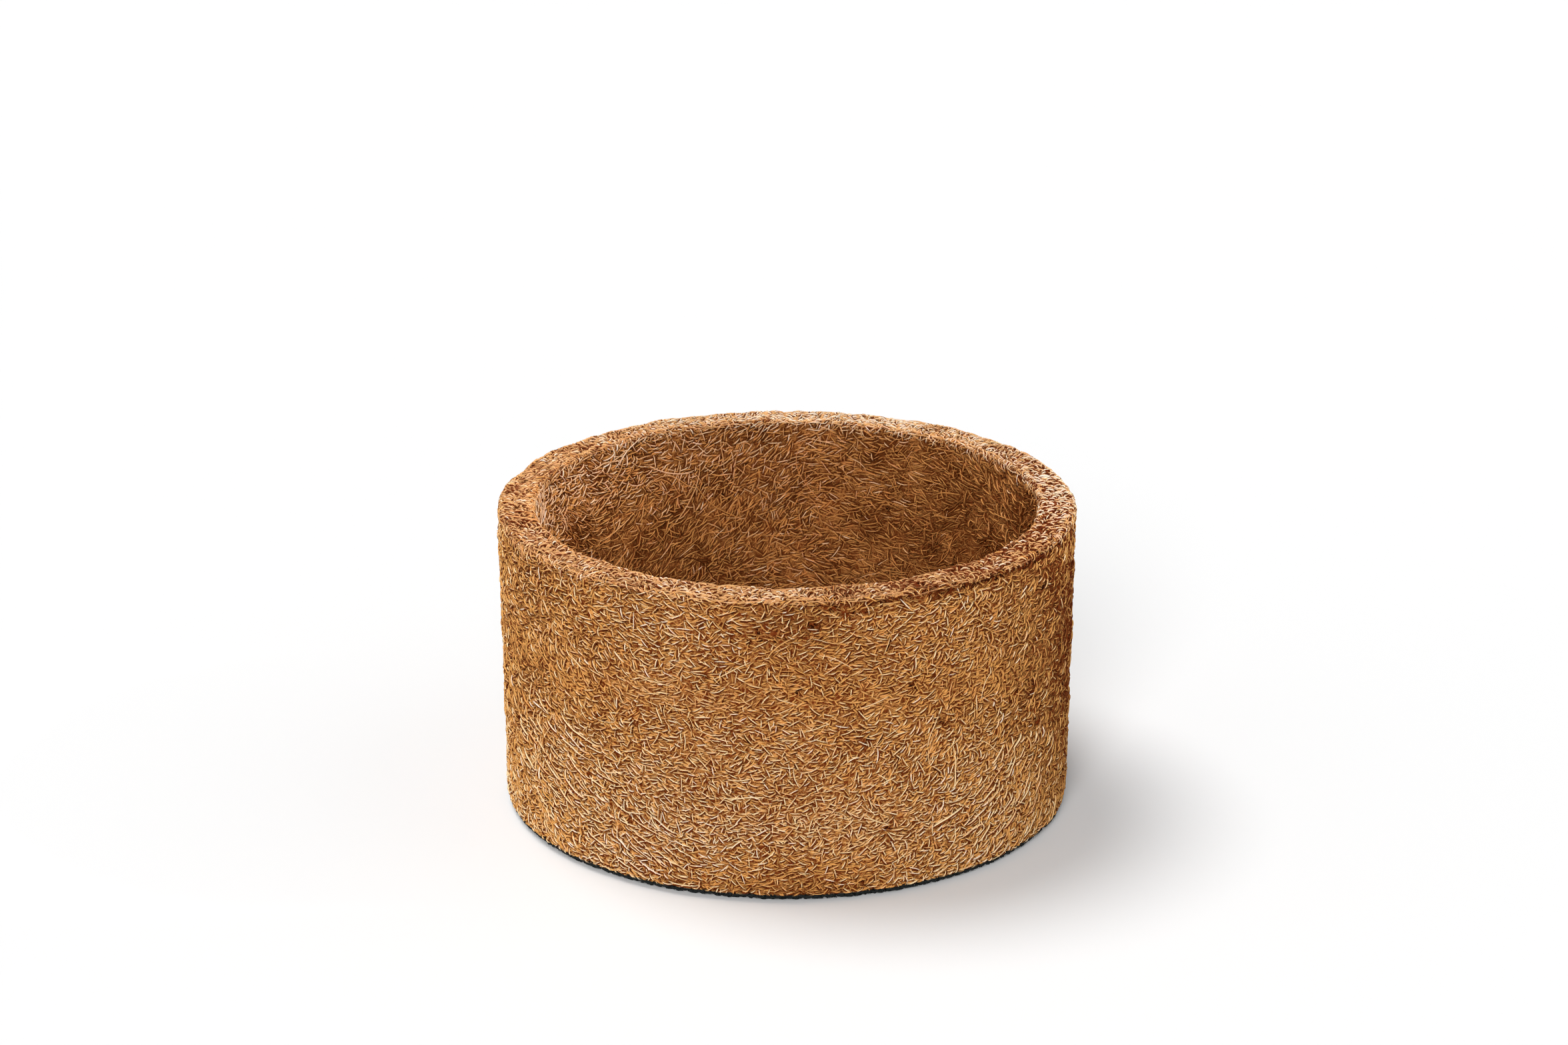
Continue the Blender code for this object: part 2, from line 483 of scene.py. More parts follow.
def fan_share(run, azimuth):
    """The chance that a combed pale fibre lies at a place."""
    share = sum(near_spot(run, azimuth, *spot) for *spot, _ in FANS)
    return np.clip(FAN_GAIN * share - FAN_START, 0, 1)


def crossing_share(run, azimuth):
    """The chance that a long pale fibre lies at a place in the bore: most lie at its left, near the rim."""
    depth = np.clip((run - WALL.bore_top) / CROSSING_REACH, 0, 1)
    return np.clip(-np.cos(azimuth), 0, 1) ** 2 * (1 - depth)


def mat_rise(run, azimuth):
    """Where the fibres are pressed into a smooth mat, the lower ones come nearly level with the top."""
    return MAT_RISE * np.clip(PATCHES.read(run, azimuth), 0, MAT_PATCH_TOP)


def unit(vectors):
    """Vectors made one long."""
    return vectors / np.maximum(np.linalg.norm(vectors, axis=-1, keepdims=True), 1e-12)


def resample(track, start, end, count):
    """Even points along tracks of knots, between two shares of their length."""
    steps = np.linspace(start, end, count) * (track.shape[1] - 1)
    knot = np.minimum(steps.astype(int), track.shape[1] - 2)
    share = steps - knot
    return track[:, knot] * (1 - share) + track[:, knot + 1] * share


CELL_SAMPLES = 13


def keep_apart(rng, skin, a, b, pitch):
    """Choose fibres that lie clear of each other: no two cross the same cell of a fine grid."""
    cells = skin.cells(resample(a, 0, 1, CELL_SAMPLES), resample(b, 0, 1, CELL_SAMPLES), pitch)
    cells -= cells.min()
    turn = rng.permutation(len(a))
    taken = np.zeros(cells.max() + 1, bool)
    left = np.arange(len(a))
    chosen = []
    while len(left):
        first = np.full(taken.shape, len(a))
        np.minimum.at(first, cells[left].ravel(), np.repeat(turn[left], CELL_SAMPLES))
        wins = (first[cells[left]] == turn[left, None]).all(1)
        chosen.append(left[wins])
        taken[cells[left[wins]].ravel()] = True
        left = left[~wins]
        left = left[~taken[cells[left]].any(1)]
    return np.sort(np.concatenate(chosen))


# How single fibres differ from their layer's length and thickness, and how they thin to their ends.
LENGTH_SPREAD = 0.34
LENGTH_LIMITS = (0.5, 2.2)
THICKNESS_SPREAD = 0.20
THICKNESS_LIMITS = (0.5, 1.6)
END_THINNING = 0.35

# How often single fibres sway and weave along their length, and how much of the weave each takes.
SWAY_RATES = (0.5, 1.4)
WEAVE_RATES = (0.6, 1.6)
WEAVE_SHARES = (0.3, 1.0)


def lay_fibres(rng, skin, count, low, high, knots, length, thickness, rise, weave, curl, stray, grain, swell,
               dive=0.55, spread=GRAIN_SPREAD, clear=None, share=None, raise_by=None, beside=0.0, trim=0.0):
    """Lay fibres on a skin. Their own sizes are in millimetres, and their curl in radians per metre.

    Each starts at a random place, follows the felt's grain or goes astray, curls as it goes, weaves
    up and down and dives at both ends. A layer with the seed of another lies beside its fibres, and
    may be trimmed to the middle of their length. Gives the places, the directions out of the felt, the
    radii and the fibres' middles on the skin.
    """
    length, thickness, weave, dive, beside = (
        size * MM for size in (length, thickness, weave, dive, beside))
    a, b = skin.scatter(rng, count, low, high)
    if share is not None:
        keep = rng.uniform(0, 1, len(a)) < share(a, b)
        a, b = a[keep], b[keep]
    count = len(a)
    shortest, longest = (length * limit for limit in LENGTH_LIMITS)
    pace = np.clip(rng.lognormal(math.log(length), LENGTH_SPREAD, count), shortest, longest) / (knots - 1)
    wander = rng.uniform(0, 1, count) < stray
    off = np.where(wander, rng.uniform(0, TURN, count), rng.normal(0, spread, count))
    off += math.pi * rng.integers(0, 2, count)
    bend = rng.normal(0, curl, count)
    sway = rng.normal(0, curl, count)
    sway_phase = rng.uniform(0, TURN, count)
    sway_rate = rng.uniform(*SWAY_RATES, count)
    track = [(a, b)]
    for knot in range(1, knots):
        done = knot / (knots - 1)
        off = off + (bend + sway * np.sin(TURN * sway_rate * done + sway_phase)) * pace
        track.append(skin.step(*track[-1], grain(*track[-1]) + off, pace))
    a, b = np.moveaxis(np.array(track), 0, 2)
    if clear is not None:
        keep = keep_apart(rng, skin, a, b, clear * MM)
        a, b = a[keep], b[keep]
    if beside:
        a, b = skin.shift(a, b, beside)
    if trim:
        a, b = resample(a, trim, 1 - trim, knots), resample(b, trim, 1 - trim, knots)
    count = len(a)

    done = np.linspace(0, 1, knots)[None, :]
    ends = np.abs(2 * done - 1)
    level = rng.uniform(rise[0] * MM, rise[1] * MM, (count, 1))
    wave = rng.uniform(*WEAVE_SHARES, (count, 1)) * weave
    wave_phase = rng.uniform(0, TURN, (count, 1))
    wave_rate = rng.uniform(*WEAVE_RATES, (count, 1))
    lift = level + wave * np.sin(TURN * wave_rate * done + wave_phase) - dive * ends ** 4 + swell(a, b)
    middle = (a[:, knots // 2], b[:, knots // 2])
    if raise_by is not None:
        lift = lift + raise_by(*middle)[:, None]
    thinnest, thickest = (thickness * limit for limit in THICKNESS_LIMITS)
    thick = np.clip(rng.normal(thickness, thickness * THICKNESS_SPREAD, (count, 1)), thinnest, thickest)
    radii = thick / 2 * (1 - END_THINNING * ends ** 3)
    places, outward = skin.point(a, b, lift)
    places[..., 2] = np.maximum(places[..., 2], radii)
    return places, outward, radii, middle


def new_mesh(name, vertices, faces):
    """A smooth mesh object from arrays: vertices, and groups of faces with the same number of corners."""
    mesh = bpy.data.meshes.new(name)
    corners = np.concatenate([group.ravel() for group in faces])
    sizes = np.concatenate([np.full(len(group), group.shape[1]) for group in faces])
    starts = np.concatenate([[0], np.cumsum(sizes)[:-1]])
    mesh.vertices.add(len(vertices))
    mesh.vertices.foreach_set("co", vertices.astype(np.float32).ravel())
    mesh.loops.add(len(corners))
    mesh.loops.foreach_set("vertex_index", corners.astype(np.int32))
    mesh.polygons.add(len(sizes))
    mesh.polygons.foreach_set("loop_start", starts.astype(np.int32))
    mesh.update(calc_edges=True)
    mesh.shade_smooth()
    piece = bpy.data.objects.new(name, mesh)
    bpy.context.scene.collection.objects.link(piece)
    return piece


def set_map(mesh, name, coordinates):
    """Give a mesh a UV map."""
    layer = mesh.uv_layers.new(name=name)
    layer.uv.foreach_set("vector", coordinates.astype(np.float32).ravel())


def quads_between(row, next_row, axis=-1):
    """The corners of the quads between rows of points and the rows next to them."""
    return np.stack([row[:, :-1], row[:, 1:], next_row[:, 1:], next_row[:, :-1]], axis)


SIDES = 3
PIECE_FACES = 190000

# Each fibre has a cell of its own on the map, this many times as long as it is high.
CELL_SHAPE = 8
CELL_END_MARGIN = 0.04
CELL_SIDE_MARGIN = 0.16


def fibre_piece(name, places, outward, radii, tone, hue):
    """One piece that holds many fibres, each a closed tapered tube with its own tone, hue and map cell."""
    count, knots = places.shape[:2]
    ahead = unit(np.gradient(places, axis=1))
    side = unit(np.cross(ahead, outward))
    up = np.cross(side, ahead)
    turns = TURN * np.arange(SIDES) / SIDES + math.pi / 2
    ring = (
        places[:, :, None]
        + radii[:, :, None, None] * (
            np.cos(turns)[:, None] * side[:, :, None] + np.sin(turns)[:, None] * up[:, :, None]))
    index = np.arange(count * knots * SIDES).reshape(count, knots, SIDES)
    quads = quads_between(index, np.roll(index, -1, axis=2)).reshape(-1, 4)
    caps = np.concatenate([index[:, 0], index[:, -1, ::-1]])
    piece = new_mesh(name, ring.reshape(-1, 3), [quads, caps])

    columns = max(1, round(math.sqrt(count / CELL_SHAPE)))
    rows = math.ceil(count / columns)
    column = (np.arange(count) % columns)[:, None, None]
    row = (np.arange(count) // columns)[:, None, None]
    knot = np.arange(knots)[None, :, None]
    turn = np.arange(SIDES + 1)[None, None, :]
    u = (column + CELL_END_MARGIN + (1 - 2 * CELL_END_MARGIN) * knot / (knots - 1) + 0 * turn) / columns
    v = (row + CELL_SIDE_MARGIN + (1 - 2 * CELL_SIDE_MARGIN) * turn / SIDES + 0 * knot) / rows
    cell = np.stack([u, v], -1)
    quad_map = quads_between(cell[:, :, :-1], cell[:, :, 1:], -2)
    cap_map = np.concatenate([cell[:, 0, :SIDES], cell[:, -1, SIDES - 1::-1]])
    set_map(piece.data, "OFBake", np.concatenate([quad_map.reshape(-1, 2), cap_map.reshape(-1, 2)]))

    values = np.zeros((count, knots, SIDES, 3))
    values[..., 0] = tone[:, None, None]
    values[..., 1] = hue[:, None, None]
    values[..., 2] = knot / (knots - 1)
    attribute = piece.data.attributes.new("fibre", "FLOAT_VECTOR", "POINT")
    attribute.data.foreach_set("vector", values.astype(np.float32).ravel())
    return piece


BUMP_STRENGTH = 0.5


class Nodes:
    """Short ways to place and join nodes in one tree."""

    def __init__(self, tree):
        self.tree = tree

    def feed(self, socket, value):
        """Set a socket to a value, or link another socket to it."""
        if isinstance(value, bpy.types.NodeSocket):
            self.tree.links.new(value, socket)
        else:
            socket.default_value = value

    def add(self, kind, **settings):
        """Place a node. Settings whose names are sockets are values or links, and the rest are properties."""
        node = self.tree.nodes.new(kind)
        for name in [name for name in settings if hasattr(node, name)]:
            setattr(node, name, settings.pop(name))
        for name, value in settings.items():
            self.feed(node.inputs[name.replace("_", " ")], value)
        return node

    def work(self, kind, operation, first, second):
        """Arithmetic on two numbers or two vectors."""
        node = self.add(kind, operation=operation)
        self.feed(node.inputs[0], first)
        self.feed(node.inputs[1], second)
        return node.outputs[0]

    def math(self, operation, first, second):
        """A sum of two numbers, or other arithmetic."""
        return self.work("ShaderNodeMath", operation, first, second)

    def mix(self, factor, first, second, blend="MIX"):
        """A mix of two colours."""
        node = self.add("ShaderNodeMix", data_type="RGBA", blend_type=blend, Factor=factor)
        self.feed(node.inputs[6], first)
        self.feed(node.inputs[7], second)
        return node.outputs[2]

    def span(self, value, low, high, to_low=0.0, to_high=1.0):
        """A value taken smoothly from one range to another."""
        node = self.add(
            "ShaderNodeMapRange", interpolation_type="SMOOTHSTEP", Value=value, From_Min=low, From_Max=high,
            To_Min=to_low, To_Max=to_high)
        return node.outputs["Result"]

    def noise(self, vector, scale, detail=2.0, roughness=0.5):
        """Smooth noise from 0 to 1."""
        node = self.add("ShaderNodeTexNoise", Vector=vector, Scale=scale, Detail=detail, Roughness=roughness)
        return node.outputs["Fac"]

    def place(self):
        """Where a point lies in its piece."""
        return self.add("ShaderNodeTexCoord").outputs["Object"]

    def seen(self):
        """1 where a surface is looked at, straight or by a shine or through something clear."""
        path = self.add("ShaderNodeLightPath").outputs
        seen = self.math("MAXIMUM", path["Is Camera Ray"], path["Is Glossy Ray"])
        return self.math("MAXIMUM", seen, path["Is Transmission Ray"])

    def surface(self, colour, roughness, height, relief):
        """Feed the material's surface shader, and give it back."""
        shader = self.tree.nodes["Principled BSDF"]
        bumps = self.add("ShaderNodeBump", Strength=BUMP_STRENGTH, Distance=relief, Height=height)
        self.feed(shader.inputs["Base Color"], colour)
        self.feed(shader.inputs["Roughness"], roughness)
        self.feed(shader.inputs["Normal"], bumps.outputs["Normal"])
        return shader


def new_group(name, takes, gives):
    """A node group with named inputs, of a kind and with a usual value, and named outputs of a kind."""
    group = bpy.data.node_groups.new(name, "ShaderNodeTree")
    for socket, kind, usual in takes:
        made = group.interface.new_socket(name=socket, in_out="INPUT", socket_type="NodeSocket" + kind)
        if usual is not None:
            made.default_value = usual
    for socket, kind in gives:
        group.interface.new_socket(name=socket, in_out="OUTPUT", socket_type="NodeSocket" + kind)
    given = group.nodes.new("NodeGroupInput").outputs
    return group, Nodes(group), given, group.nodes.new("NodeGroupOutput").inputs


def new_material(name):
    """A material, and the helper for its nodes."""
    material = bpy.data.materials.new(name)
    material.use_nodes = True
    return material, Nodes(material.node_tree)


# A tone below 0 is darker still with painted shade, down to the painted shade depth, 0 is dark, 1 is pale,
# and above 1 it is whitened as a painted highlight.
PAINTED_SHADE_DEPTH = 0.6
HIGHLIGHT_TOP = 1.4
PAINTED_SHADE_TINT = (0.18, 0.15, 0.13, 1)
HIGHLIGHT_COLOUR = (1.0, 0.85, 0.72, 1)
HIGHLIGHT_SHARE = 0.65
FLECK_DEPTH = 0.40
RED_SHARE = 0.55
COIR_ROUGHNESS = (0.50, 0.78)

# Painted contact shadow darkens the foot where the pot stands.
PAINTED_FOOT_SHADOW_TOP = 2.2 * MM
PAINTED_FOOT_SHADOW_FADE = 0.5 * MM
PAINTED_FOOT_SHADOW_COLOUR = (0.021, 0.025, 0.025, 1)


def coir_colour_group():
    """The colour, sheen and fine relief of coir, from a fibre's tone."""
    group, nodes, given, result = new_group(
        "coir_colour",
        (("Tone", "Float", 0.5), ("Hue", "Float", 0.5), ("Dark", "Color", None), ("Middle", "Color", None),
         ("Pale", "Color", None), ("Red", "Color", None), ("Patchiness", "Float", 0.2),
         ("Foot Grime", "Float", 0.0)),
        (("Color", "Color"), ("Roughness", "Float"), ("Relief", "Float")))
    place = nodes.place()
    patch = nodes.noise(place, scale=75.0, detail=3.0, roughness=0.55)
    fleck = nodes.noise(place, scale=1900.0, roughness=0.6)
    scale = nodes.noise(place, scale=2600.0)
    shift = nodes.math("MULTIPLY", nodes.math("SUBTRACT", patch, 0.5), given["Patchiness"])
    flecked = nodes.math("MULTIPLY", nodes.math("SUBTRACT", fleck, 0.5), FLECK_DEPTH)
    tone = nodes.math("ADD", nodes.math("ADD", given["Tone"], shift), flecked)
    # Tones below 0 take painted shade, and tones above 1 are whitened as painted highlights.
    painted_shade = nodes.mix(1.0, given["Dark"], PAINTED_SHADE_TINT, "MULTIPLY")
    dark = nodes.mix(nodes.span(tone, -PAINTED_SHADE_DEPTH, 0.0), painted_shade, given["Dark"])
    low = nodes.mix(nodes.span(tone, 0.0, 0.5), dark, given["Middle"])
    colour = nodes.mix(nodes.span(tone, 0.5, 1.0), low, given["Pale"])
    bleached = nodes.mix(HIGHLIGHT_SHARE, given["Pale"], HIGHLIGHT_COLOUR)
    colour = nodes.mix(nodes.span(tone, 1.0, HIGHLIGHT_TOP), colour, bleached)
    redden = nodes.math("MULTIPLY", nodes.span(given["Hue"], 0.45, 1.0), RED_SHARE)
    colour = nodes.mix(redden, colour, nodes.mix(1.0, colour, given["Red"], "MULTIPLY"))
    # Painted contact shadow: the lowest fibres go near black up to a height, then fade out above it.
    height = nodes.add("ShaderNodeSeparateXYZ", Vector=place).outputs["Z"]
    low_down = nodes.span(height, PAINTED_FOOT_SHADOW_TOP - PAINTED_FOOT_SHADOW_FADE, PAINTED_FOOT_SHADOW_TOP, 1.0, 0.0)
    foot_shadow = nodes.math("MULTIPLY", low_down, given["Foot Grime"])
    scaly = nodes.math("ADD", fleck, nodes.math("MULTIPLY", scale, 0.5))
    nodes.feed(result["Color"], nodes.mix(foot_shadow, colour, PAINTED_FOOT_SHADOW_COLOUR))
    nodes.feed(result["Roughness"], nodes.span(scaly, 0.4, 1.1, *COIR_ROUGHNESS))
    nodes.feed(result["Relief"], nodes.math("ADD", nodes.math("MULTIPLY", fleck, 0.5), scale))
    return group


STROKE_ANGLES_DEG = (12, 49, 93, 138)
STROKE_DRIFT = 2.6 * MM
STROKE_EDGE = (0.5, 0.66)


def felt_strokes_group():
    """A mat of crossing strokes, for the felt between the fibres: 0 in the pits, 1 on the strokes."""
    group, nodes, given, result = new_group(
        "felt_strokes", (("Vector", "Vector", None), ("Length", "Float", 160.0), ("Width", "Float", 1500.0)),
        (("Strokes", "Float"),))
    swirl = nodes.add("ShaderNodeTexNoise", Vector=given["Vector"], Scale=120.0, Detail=1.0)
    drift = nodes.add(
        "ShaderNodeVectorMath", operation="SCALE", Vector=swirl.outputs["Color"], Scale=STROKE_DRIFT)
    bent = nodes.work("ShaderNodeVectorMath", "ADD", given["Vector"], drift.outputs[0])
    stretch = nodes.add("ShaderNodeCombineXYZ", X=given["Length"], Y=given["Width"], Z=given["Width"])
    total = 0.0
    for angle_deg in STROKE_ANGLES_DEG:
        turned = nodes.add(
            "ShaderNodeVectorRotate", rotation_type="Z_AXIS", Vector=bent, Angle=math.radians(angle_deg))
        scaled = nodes.work("ShaderNodeVectorMath", "MULTIPLY", turned.outputs[0], stretch.outputs[0])
        stroke = nodes.span(nodes.noise(scaled, scale=1.0, detail=1.0), *STROKE_EDGE)
        total = nodes.math("MAXIMUM", total, stroke)
    nodes.feed(result["Strokes"], total)
    return group


COIR_COLOUR = coir_colour_group()
FELT_STROKES = felt_strokes_group()

# Colours of the fibres: dark, middle and pale, with a red cast for the redder ones.
SWATCH = ("Dark", "Middle", "Pale", "Red")
OUTER_COLOURS = ((0.18, 0.034, 0.005), (0.79, 0.395, 0.112), (1.0, 0.755, 0.43), (1.0, 0.84, 0.84))
RIM_COLOURS = ((0.15, 0.027, 0.004), (0.75, 0.41, 0.165), (0.96, 0.78, 0.56), (1.0, 0.84, 0.90))
INNER_COLOURS = ((0.16, 0.040, 0.007), (0.70, 0.315, 0.090), (1.0, 0.65, 0.38), (1.0, 0.82, 0.84))
BASE_COLOURS = ((0.16, 0.048, 0.010), (0.58, 0.265, 0.080), (0.92, 0.60, 0.35), (1.0, 0.82, 0.80))
FELT_SPECULAR = 0.05
FIBRE_PATCHINESS = 0.22
FIBRE_RELIEF = 0.04 * MM
CORE_PATCHINESS = 0.2
CORE_TONE = 0.22
CORE_RELIEF = 0.3 * MM


def coir_finish(nodes, colours, tone, hue, patchiness, relief, painted_foot_shadow=0.0, height=None):
    """Colour a material as coir. A height given takes the place of the fibres' own fine relief."""
    swatch = {name: (*colour, 1.0) for name, colour in zip(SWATCH, colours)}
    coir = nodes.add(
        "ShaderNodeGroup", node_tree=COIR_COLOUR, Tone=tone, Hue=hue, Patchiness=patchiness,
        Foot_Grime=painted_foot_shadow, **swatch).outputs
    shader = nodes.surface(
        coir["Color"], coir["Roughness"], coir["Relief"] if height is None else height, relief)
    shader.inputs["Specular IOR Level"].default_value = FELT_SPECULAR


def fibre_material(name, colours, painted_foot_shadow=0.0):
    """The finish of loose fibres, toned fibre by fibre."""
    material, nodes = new_material(name)
    own = nodes.add("ShaderNodeAttribute", attribute_name="fibre")
    parts = nodes.add("ShaderNodeSeparateXYZ", Vector=own.outputs["Vector"]).outputs
    coir_finish(nodes, colours, parts["X"], parts["Y"], FIBRE_PATCHINESS, FIBRE_RELIEF, painted_foot_shadow)
    return material


def core_material(name, colours):
    """The finish of the felt under the fibres: darker crossing strokes."""
    material, nodes = new_material(name)
    laid = nodes.add("ShaderNodeUVMap", uv_map="felt_metres").outputs["UV"]
    strokes = nodes.add("ShaderNodeGroup", node_tree=FELT_STROKES, Vector=laid).outputs["Strokes"]
    tone = nodes.math("MULTIPLY", strokes, CORE_TONE)
    height = nodes.math("ADD", strokes, nodes.math("MULTIPLY", tone, 0.2))
    coir_finish(nodes, colours, tone, 0.5, CORE_PATCHINESS, CORE_RELIEF, height=height)
    return material


LATEX_BROWN = (0.20, 0.095, 0.034, 1)
LATEX_AMBER = (0.36, 0.20, 0.085, 1)
LATEX_CLOUD = (0.3, 0.7)
LATEX_ROUGHNESS = (0.42, 0.68)
LATEX_RELIEF = 0.15 * MM


def latex_material():
    """Dry natural latex: amber brown, satin, dusty with fibre dust."""
    material, nodes = new_material("dry_latex")
    place = nodes.place()
    cloud = nodes.noise(place, scale=300.0, detail=3.0)
    colour = nodes.mix(nodes.span(cloud, *LATEX_CLOUD), LATEX_BROWN, LATEX_AMBER)
    roughness = nodes.span(cloud, *LATEX_CLOUD, *LATEX_ROUGHNESS)
    nodes.surface(colour, roughness, nodes.noise(place, scale=2400.0), LATEX_RELIEF)
    return material


# How far under the skin the felt cores lie, and how finely they are cut.
CORE_DEPTH = 0.75 * MM
FLOOR_CORE_DEPTH = CORE_DEPTH * 0.8
UNDERSIDE_CORE_DEPTH = CORE_DEPTH * 0.6
CORE_GROUND_GAP = 0.1 * MM
CORE_PITCH = 1.1 * MM
CORE_TURNS = 420
BASE_CORE_PITCH = 1.6 * MM
BASE_CORE_TURNS = 180
SHARP_ANGLE = math.radians(50)

# Where the two plies are glued, their cores keep to the skin. The rim is free.
GLUED_DEPTH = 1.2 * MM
FREE_RIM = 1 * MM
INNER_SEAT = 0.2 * MM

# The latex lies sunk in its seams, most at its sides, with a lumpy face.
LATEX_SINK = 0.9 * MM
LATEX_SIDE_SINK = 0.35
LATEX_LUMPS = 0.10 * MM
LATEX_WIDTH_CHANGE = 0.06
LATEX_PITCH = 1.0 * MM
LATEX_ROWS = 5


def section_loop(points, pitch):
    """A closed section resampled at an even pitch, with its distance along for the map."""
    points = np.array(points + [points[0]])
    knots = distances(points)
    runs = np.linspace(0, knots[-1], round(knots[-1] / pitch), endpoint=False)
    return np.interp(runs, knots, points[:, 0]), np.interp(runs, knots, points[:, 1]), runs


def strip(name, radius, height, rise, azimuth):
    """A piece swept round the axis: a closed section, raised out of its faces, with its two ends."""
    widen = np.roll(radius, -1) - np.roll(radius, 1)
    climb = np.roll(height, -1) - np.roll(height, 1)
    size = np.maximum(np.hypot(widen, climb), 1e-9)
    wide = radius[:, None] + rise * (climb / size)[:, None]
    high = np.maximum(height[:, None] + rise * (-widen / size)[:, None], 0.0)
    vertices = np.stack([wide * np.cos(azimuth), wide * np.sin(azimuth), high], -1)
    index = np.arange(wide.size).reshape(wide.shape)
    quads = quads_between(index, np.roll(index, -1, axis=0)).reshape(-1, 4)
    ends = np.stack([index[:, 0], index[::-1, -1]])
    return new_mesh(name, vertices.reshape(-1, 3), [quads, ends])


def ply_core(name, section, seam, sinks):
    """The felt core of a ply: a strip bent to a ring whose two ends meet at the seam."""
    radius, height, runs = section_loop(section, CORE_PITCH)
    half = SEAM_OPENING / 2 / RIM_RADIUS
    azimuth = np.linspace(seam + half, seam + TURN - half, CORE_TURNS + 1)
    rise = (lumps(runs[:, None], azimuth[None, :]) - CORE_DEPTH) * sinks(radius, height)[:, None]
    core = strip(name, radius, height, rise, azimuth)
    core.data.set_sharp_from_angle(angle=SHARP_ANGLE)

    run = np.append(runs, runs[-1] + (runs[1] - runs[0]))
    flat = np.stack(np.broadcast_arrays(azimuth[None, :] * RIM_RADIUS, run[:, None]), -1)
    quad_map = quads_between(flat[:-1], flat[1:], -2).reshape(-1, 2)
    end_map = np.stack([radius, height], -1)
    set_map(core.data, "felt_metres", np.concatenate([quad_map, end_map, end_map[::-1]]))
    return core


def outer_sinks(radius, height):
    """The outer ply sinks under its fibres on the outside, the rim and the foot."""
    glued = (radius < FOOT_RADIUS - OUTER_PLY + GLUED_DEPTH) & (height < HEIGHT - FREE_RIM)
    return np.where(glued, 0.0, 1.0)


def inner_sinks(radius, height):
    """The inner ply sinks under its fibres in the bore and on the rim."""
    glued = (radius > BORE_AT_RIM + INNER_PLY - GLUED_DEPTH) & (height < HEIGHT - FREE_RIM)
    return np.where(glued | (height < INNER_PLY_FOOT + INNER_SEAT), 0.0, 1.0)


def seam_bead(name, section, seam):
    """The latex in a seam: a lumpy bead that fills the slot and sinks under the fibres."""
    radius, height, _ = section_loop(section, LATEX_PITCH)
    rng = np.random.default_rng(31)
    across = np.linspace(-0.5, 0.5, LATEX_ROWS)
    sides = 1 + LATEX_SIDE_SINK * np.abs(across) * 2
    sink = LATEX_SINK * sides[None, :] + rng.normal(0, LATEX_LUMPS, (len(radius), LATEX_ROWS))
    change = rng.uniform(-LATEX_WIDTH_CHANGE, LATEX_WIDTH_CHANGE, (len(radius), 1))
    turn = seam + across[None, :] * (SEAM_LATEX_WIDTH * (1 + change)) / RIM_RADIUS
    return strip(name, radius, height, -sink, turn)


def disc_core(name, radius, high):
    """The felt core of the base: a lumpy round pad."""
    rings = np.linspace(0, radius, round(radius / BASE_CORE_PITCH))[1:]
    turns = np.linspace(0, TURN, BASE_CORE_TURNS, endpoint=False)
    x = rings[:, None] * np.cos(turns)
    y = rings[:, None] * np.sin(turns)
    top = high - FLOOR_CORE_DEPTH + disc_swell(x, y)
    bottom = np.maximum(UNDERSIDE_CORE_DEPTH + disc_swell(x, y), CORE_GROUND_GAP)
    count = x.size
    sheets = [np.stack([x, y, top], -1).reshape(-1, 3), np.stack([x, y, bottom], -1).reshape(-1, 3)]
    middle = np.array([[0, 0, top[0].mean()], [0, 0, bottom[0].mean()]])
    vertices = np.concatenate(sheets + [middle])
    index = np.arange(count).reshape(x.shape)
    after = np.roll(index, -1, axis=1)
    sheet = np.stack([index[:-1], index[1:], after[1:], after[:-1]], -1).reshape(-1, 4)
    edge = np.stack([index[-1], index[-1] + count, after[-1] + count, after[-1]], -1)
    fan_top = np.stack([index[0], after[0], np.full(len(turns), 2 * count)], -1)
    fan_bottom = np.stack([after[0] + count, index[0] + count, np.full(len(turns), 2 * count + 1)], -1)
    quads = np.concatenate([sheet, sheet[:, ::-1] + count, edge])
    fans = np.concatenate([fan_top, fan_bottom])
    core = new_mesh(name, vertices, [quads, fans])
    core.data.set_sharp_from_angle(angle=SHARP_ANGLE)
    corners = vertices[np.concatenate([quads.ravel(), fans.ravel()])]
    set_map(core.data, "felt_metres", corners[:, :2] + corners[:, 2:] * (1.0, 0.0))
    return core


# The shades of the felt, as changes of tone, most of them painted light and shade. Outside it has painted
# shade towards both ends of the pot and painted light at the front left, is paler low down, and has painted
# shade at the front of the foot and where the splits crowd.
OUTER_SHADE_LEFT = 0.38
OUTER_SHADE_RIGHT = 0.60
OUTER_GLOW = 0.12
OUTER_GLOW_MIDDLE = math.radians(-117)
OUTER_GLOW_TURN = 0.42
OUTER_PARTING = 0.16
FOOT_PALENESS = 0.25
FOOT_PALENESS_TOP = 45 * MM
FOOT_SHADE = 0.80
FOOT_SHADE_MIDDLE = math.radians(-90)
FOOT_SHADE_TURN = 0.42
FOOT_SHADE_TOP = 18 * MM
CROWD_SHADE = 0.24
CROWD_SHADE_TURN = 0.22
CROWD_SHADE_REACH_MM = 16
# Inside it has painted light at the left near the rim, and painted shade at the right and low down; at the
# left its fibres part in tone as painted highlights.
INNER_PAINTED_LIGHT = 0.18
INNER_PAINTED_REACH = 32 * MM
INNER_SHADE = 0.44
INNER_DEEP_SHADE = 0.16
INNER_DEEP_SHADE_LEFT = 0.40
INNER_PARTING = 0.28
